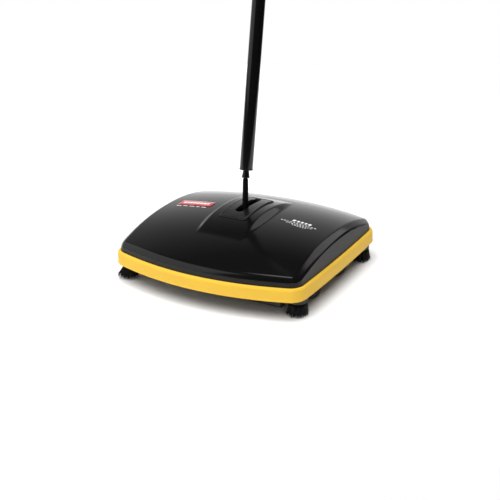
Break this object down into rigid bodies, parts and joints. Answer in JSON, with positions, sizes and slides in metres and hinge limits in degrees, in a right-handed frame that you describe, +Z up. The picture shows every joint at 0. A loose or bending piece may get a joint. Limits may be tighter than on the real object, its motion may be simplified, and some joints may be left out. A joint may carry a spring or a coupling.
{
  "type": "carpet sweeper",
  "caption": "Hand-pushed carpet sweeper: low arched head on wheels that drive a bristle roller, corner brushes, a soft bumper, drop-down dust pans and a long tilting tube handle.",
  "frame": {"origin": "on the floor, under the middle of the whole sweeper's box with its handle leaning back", "axes": "+X to the right along the roller's axle, +Y to the back, the way the handle leans, +Z up"},
  "size_m": [0.309, 0.3572, 1.1727],
  "materials": {
    "gloss_black": "high gloss, moulded",
    "satin_black": "satin",
    "matte_black": "fine moulded grain",
    "label_red": "printed film",
    "bumper_yellow": "satin soft vinyl",
    "zinc_steel": "zinc plated",
    "spring_steel": "bright drawn wire",
    "wheel_grey": "moulded",
    "tyre_rubber": "soft rubber",
    "brass_bearing": "plain sintered bearing",
    "brush_black": "nylon bristle",
    "enamel_black": "semi-gloss enamel on steel"
  },
  "bodies": {
    "housing": {"top_cover": "gloss_black", "slot_plate": "satin_black", "label_plate": "label_red", "bumper_band": "bumper_yellow", "chassis": "matte_black", "end_plate_left": "zinc_steel", "end_plate_right": "zinc_steel", "bridge": "zinc_steel", "pivot_bracket": "zinc_steel", "pivot_pin": "zinc_steel", "detent_spring": "spring_steel", "wheel_axle_front_left": "zinc_steel", "wheel_axle_front_right": "zinc_steel", "wheel_axle_rear_left": "zinc_steel", "wheel_axle_rear_right": "zinc_steel", "corner_screw_front_left": "zinc_steel", "corner_screw_front_right": "zinc_steel", "corner_screw_rear_left": "zinc_steel", "corner_screw_rear_right": "zinc_steel", "roller_bearing_left": "brass_bearing", "roller_bearing_right": "brass_bearing", "front_pan_rod": "zinc_steel", "rear_pan_rod": "zinc_steel", "front_pan_spring": "spring_steel", "rear_pan_spring": "spring_steel"},
    "handle": {"stem": "enamel_black", "stem_collar": "satin_black", "tube_plug": "satin_black", "handle_tube_lower": "enamel_black", "handle_tube_middle": "enamel_black", "handle_tube_upper": "enamel_black", "grip": "matte_black"},
    "roller": {"roller_shaft": "zinc_steel", "roller_core": "satin_black", "drive_drum_left": "tyre_rubber", "drive_drum_right": "tyre_rubber", "bristle_row_1": "brush_black", "bristle_row_2": "brush_black", "bristle_row_3": "brush_black", "bristle_row_4": "brush_black"},
    "front_left_wheel": {"wheel_front_left": "wheel_grey", "tyre_front_left": "tyre_rubber"},
    "front_right_wheel": {"wheel_front_right": "wheel_grey", "tyre_front_right": "tyre_rubber"},
    "rear_left_wheel": {"wheel_rear_left": "wheel_grey", "tyre_rear_left": "tyre_rubber"},
    "rear_right_wheel": {"wheel_rear_right": "wheel_grey", "tyre_rear_right": "tyre_rubber"},
    "front_left_brush": {"brush_hub_front_left": "matte_black", "brush_bristles_front_left": "brush_black"},
    "front_right_brush": {"brush_hub_front_right": "matte_black", "brush_bristles_front_right": "brush_black"},
    "rear_left_brush": {"brush_hub_rear_left": "matte_black", "brush_bristles_rear_left": "brush_black"},
    "rear_right_brush": {"brush_hub_rear_right": "matte_black", "brush_bristles_rear_right": "brush_black"},
    "front_dust_pan": {"front_pan": "satin_black"},
    "rear_dust_pan": {"rear_pan": "satin_black"}
  },
  "joints": [
    {"name": "handle_tilt", "type": "hinge", "parent": "housing", "child": "handle", "pos_m": [0, -0.03027, 0.072], "axis": [1, 0, 0], "range_deg": [-41, 29]},
    {"name": "roller_spin", "type": "hinge", "parent": "housing", "child": "roller", "pos_m": [0, -0.02407, 0.028], "axis": [1, 0, 0], "continuous": true},
    {"name": "front_left_wheel_spin", "type": "hinge", "parent": "housing", "child": "front_left_wheel", "pos_m": [-0.1295, -0.06667, 0.028], "axis": [1, 0, 0], "continuous": true},
    {"name": "front_right_wheel_spin", "type": "hinge", "parent": "housing", "child": "front_right_wheel", "pos_m": [0.1295, -0.06667, 0.028], "axis": [1, 0, 0], "continuous": true},
    {"name": "rear_left_wheel_spin", "type": "hinge", "parent": "housing", "child": "rear_left_wheel", "pos_m": [-0.1295, 0.01853, 0.028], "axis": [1, 0, 0], "continuous": true},
    {"name": "rear_right_wheel_spin", "type": "hinge", "parent": "housing", "child": "rear_right_wheel", "pos_m": [0.1295, 0.01853, 0.028], "axis": [1, 0, 0], "continuous": true},
    {"name": "front_left_brush_spin", "type": "hinge", "parent": "housing", "child": "front_left_brush", "pos_m": [-0.1365, -0.12807, 0.024], "axis": [0, 0, 1], "continuous": true},
    {"name": "front_right_brush_spin", "type": "hinge", "parent": "housing", "child": "front_right_brush", "pos_m": [0.1365, -0.12807, 0.024], "axis": [0, 0, 1], "continuous": true},
    {"name": "rear_left_brush_spin", "type": "hinge", "parent": "housing", "child": "rear_left_brush", "pos_m": [-0.1365, 0.07993, 0.024], "axis": [0, 0, 1], "continuous": true},
    {"name": "rear_right_brush_spin", "type": "hinge", "parent": "housing", "child": "rear_right_brush", "pos_m": [0.1365, 0.07993, 0.024], "axis": [0, 0, 1], "continuous": true},
    {"name": "front_pan_drop", "type": "hinge", "parent": "housing", "child": "front_dust_pan", "pos_m": [0, -0.13007, 0.0255], "axis": [1, 0, 0], "range_deg": [-65, 0], "stiffness_Nm_per_rad": 0.06, "springref_deg": 45.84},
    {"name": "rear_pan_drop", "type": "hinge", "parent": "housing", "child": "rear_dust_pan", "pos_m": [0, 0.08193, 0.0255], "axis": [1, 0, 0], "range_deg": [0, 65], "stiffness_Nm_per_rad": 0.06, "springref_deg": -45.84}
  ],
  "couplings": [
    {"joint": "front_left_wheel_spin", "follows": "roller_spin", "ratio": -0.5021},
    {"joint": "front_right_wheel_spin", "follows": "roller_spin", "ratio": -0.5021},
    {"joint": "rear_left_wheel_spin", "follows": "roller_spin", "ratio": -0.5021},
    {"joint": "rear_right_wheel_spin", "follows": "roller_spin", "ratio": -0.5021}
  ]
}
